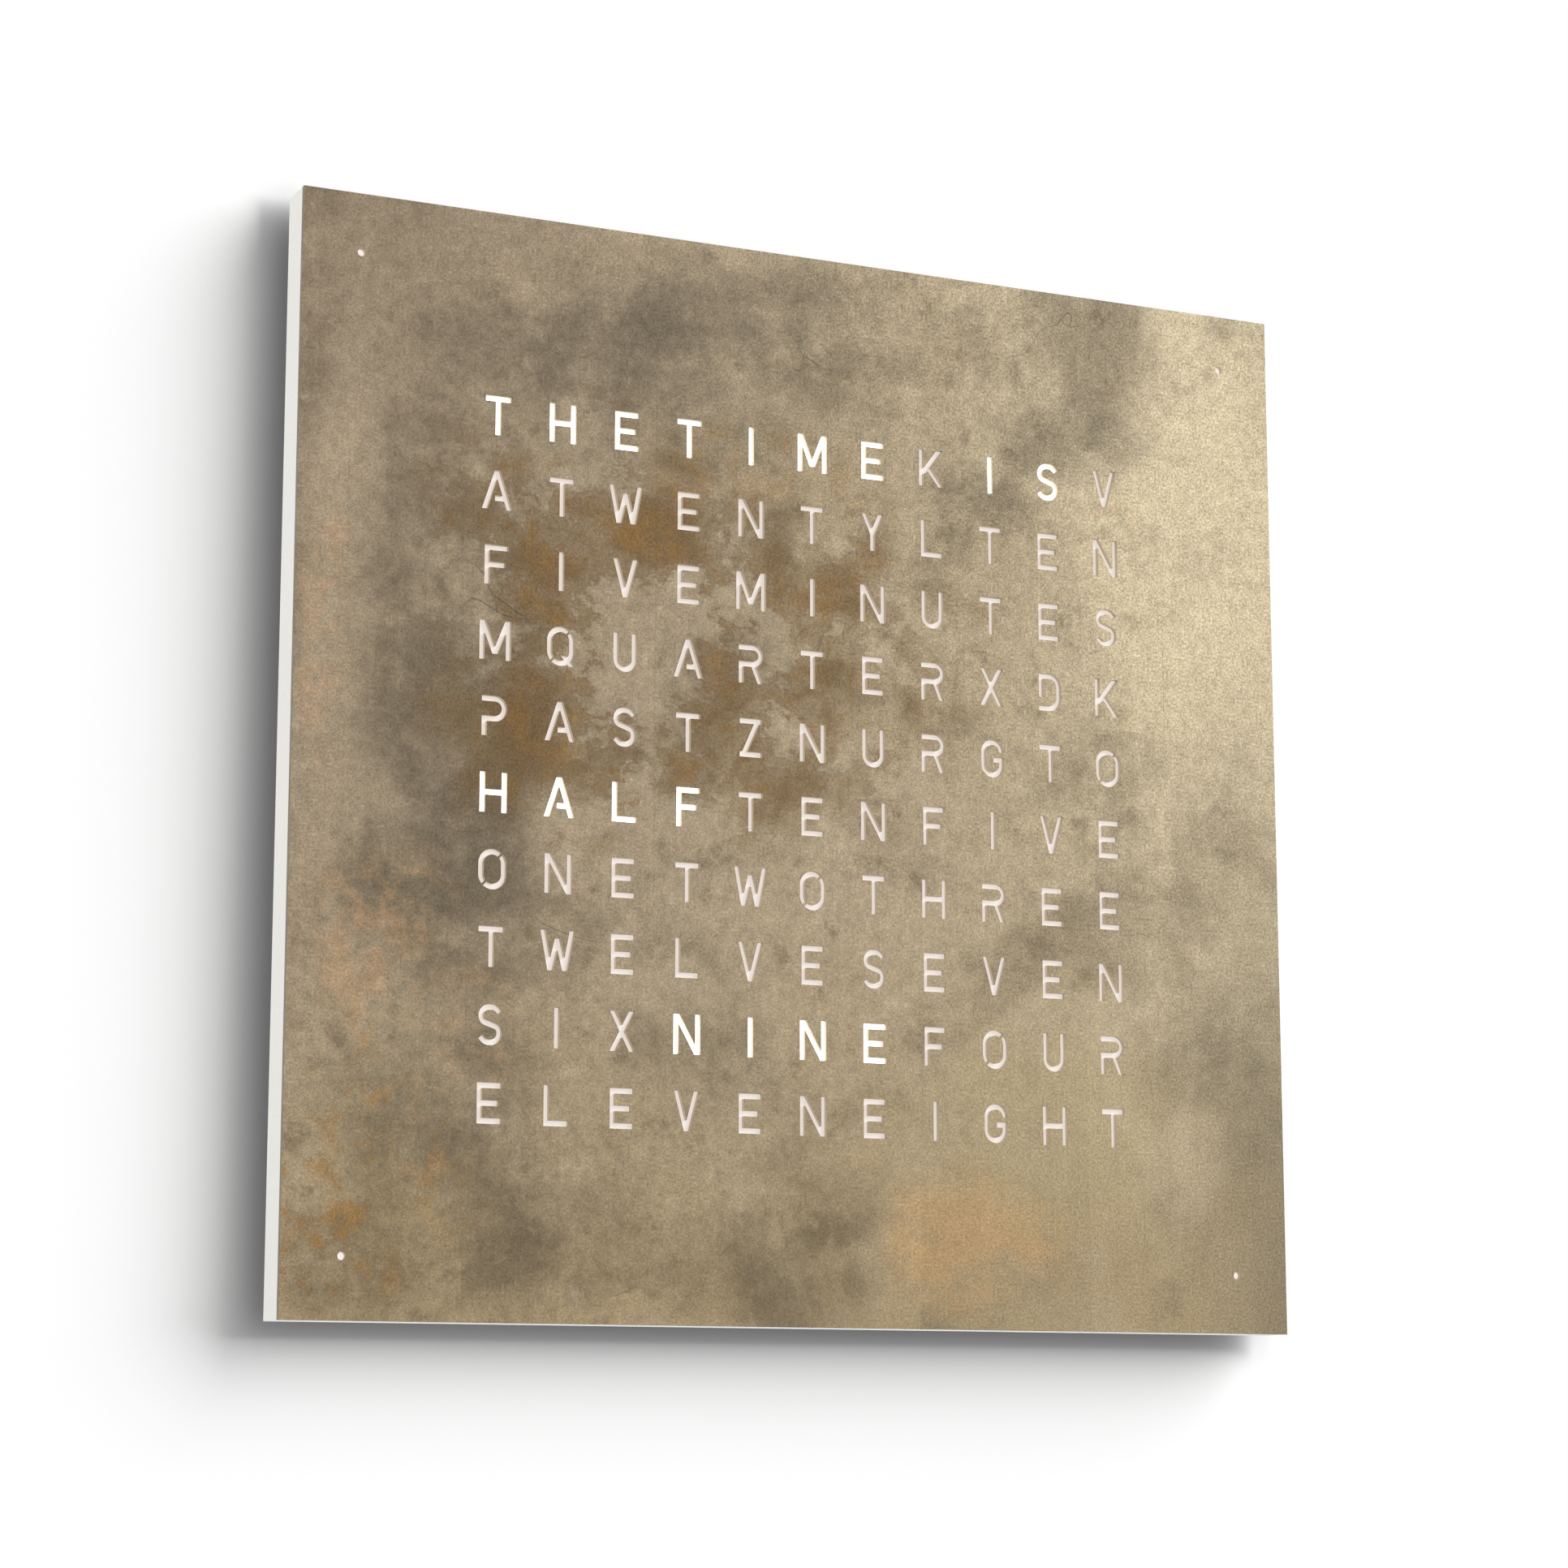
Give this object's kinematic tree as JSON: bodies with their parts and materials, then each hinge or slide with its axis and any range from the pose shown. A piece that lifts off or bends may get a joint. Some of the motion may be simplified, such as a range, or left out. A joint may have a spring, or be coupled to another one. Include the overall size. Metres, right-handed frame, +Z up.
{
  "type": "word clock",
  "caption": "Flat square wall clock that tells the time in lit words cut through a magnetic metal cover.",
  "frame": {"origin": "midway between the two hanging holes, on the wall's plane", "axes": "+Z up, the face looks along -Y, +X to the right of someone who reads it"},
  "size_m": [0.45, 0.02, 0.45],
  "materials": {
    "stained_leaf": "patinated metal leaf, satin",
    "white_lacquer": "white satin lacquer on fibreboard",
    "opal_sheet": "opal, back-lit",
    "white_core": "white painted fibreboard",
    "magnet": "nickel plated",
    "circuit_board": "white solder mask",
    "green_board": "green solder mask",
    "lamp_body": "white lamp body",
    "screw_steel": "zinc plated",
    "black_plastic": "moulded, fine matt",
    "chip_black": "moulded epoxy",
    "nickel": "nickel",
    "capacitor": "plain can",
    "ferrite": "dark sintered",
    "copper_coil": "enamelled copper winding",
    "clear_window": "smoked clear",
    "white_button": "white, gloss",
    "wire_red": "insulated wire",
    "wire_grey": "insulated wire",
    "panel_paint": "light grey powder coat",
    "plate_steel": "zinc plated sheet",
    "bumper_rubber": "soft rubber"
  },
  "bodies": {
    "body": {"rail_bottom": "white_lacquer", "rail_left": "white_lacquer", "rail_top": "white_lacquer", "rail_right": "white_lacquer", "diffuser_sheet": "opal_sheet", "core_board": "white_core", "body_magnets": "magnet", "letter_lamps": "lamp_body", "corner_boards": "circuit_board", "corner_lamps": "lamp_body", "board_screws": "screw_steel", "row_connectors": "black_plastic", "bus_board": "green_board", "bus_header": "black_plastic", "controller_board": "green_board", "controller_standoffs": "nickel", "controller_screws": "screw_steel", "controller_chips": "chip_black", "smoothing_capacitors": "capacitor", "clock_crystal": "nickel", "coin_cell": "nickel", "coin_cell_holder": "black_plastic", "light_sensor": "chip_black", "light_window": "clear_window", "wire_sockets": "black_plastic", "button_switches": "black_plastic", "antenna_rod": "ferrite", "antenna_coil": "copper_coil", "antenna_holders": "black_plastic", "inlet_cup": "black_plastic", "power_jack": "black_plastic", "power_wire": "wire_red", "antenna_wire": "wire_grey", "corner_wires": "wire_grey", "rear_panel": "panel_paint", "rear_panel_screws": "screw_steel", "keyhole_plates": "plate_steel", "hanger_blocks": "white_core", "hanger_screws": "screw_steel", "wall_bumpers": "bumper_rubber", "lamp_board_01": "circuit_board", "lamp_board_02": "circuit_board", "lamp_board_03": "circuit_board", "lamp_board_04": "circuit_board", "lamp_board_05": "circuit_board", "lamp_board_06": "circuit_board", "lamp_board_07": "circuit_board", "lamp_board_08": "circuit_board", "lamp_board_09": "circuit_board", "lamp_board_10": "circuit_board"},
    "cover": {"front_cover": "stained_leaf", "cover_magnets": "magnet"},
    "button_1": {"push_button_1": "white_button"},
    "button_2": {"push_button_2": "white_button"},
    "button_3": {"push_button_3": "white_button"},
    "button_4": {"push_button_4": "white_button"}
  },
  "joints": [
    {"name": "cover_pull_off", "type": "slide", "parent": "body", "child": "cover", "axis": [0, -1, 0], "range_m": [0, 0.08]},
    {"name": "button_1_press", "type": "slide", "parent": "body", "child": "button_1", "axis": [0, 0, 1], "range_m": [0, 0.0006], "stiffness_N_per_m": 2500, "springref_m": -0.0001},
    {"name": "button_2_press", "type": "slide", "parent": "body", "child": "button_2", "axis": [0, 0, 1], "range_m": [0, 0.0006], "stiffness_N_per_m": 2500, "springref_m": -0.0001},
    {"name": "button_3_press", "type": "slide", "parent": "body", "child": "button_3", "axis": [0, 0, 1], "range_m": [0, 0.0006], "stiffness_N_per_m": 2500, "springref_m": -0.0001},
    {"name": "button_4_press", "type": "slide", "parent": "body", "child": "button_4", "axis": [0, 0, 1], "range_m": [0, 0.0006], "stiffness_N_per_m": 2500, "springref_m": -0.0001}
  ]
}
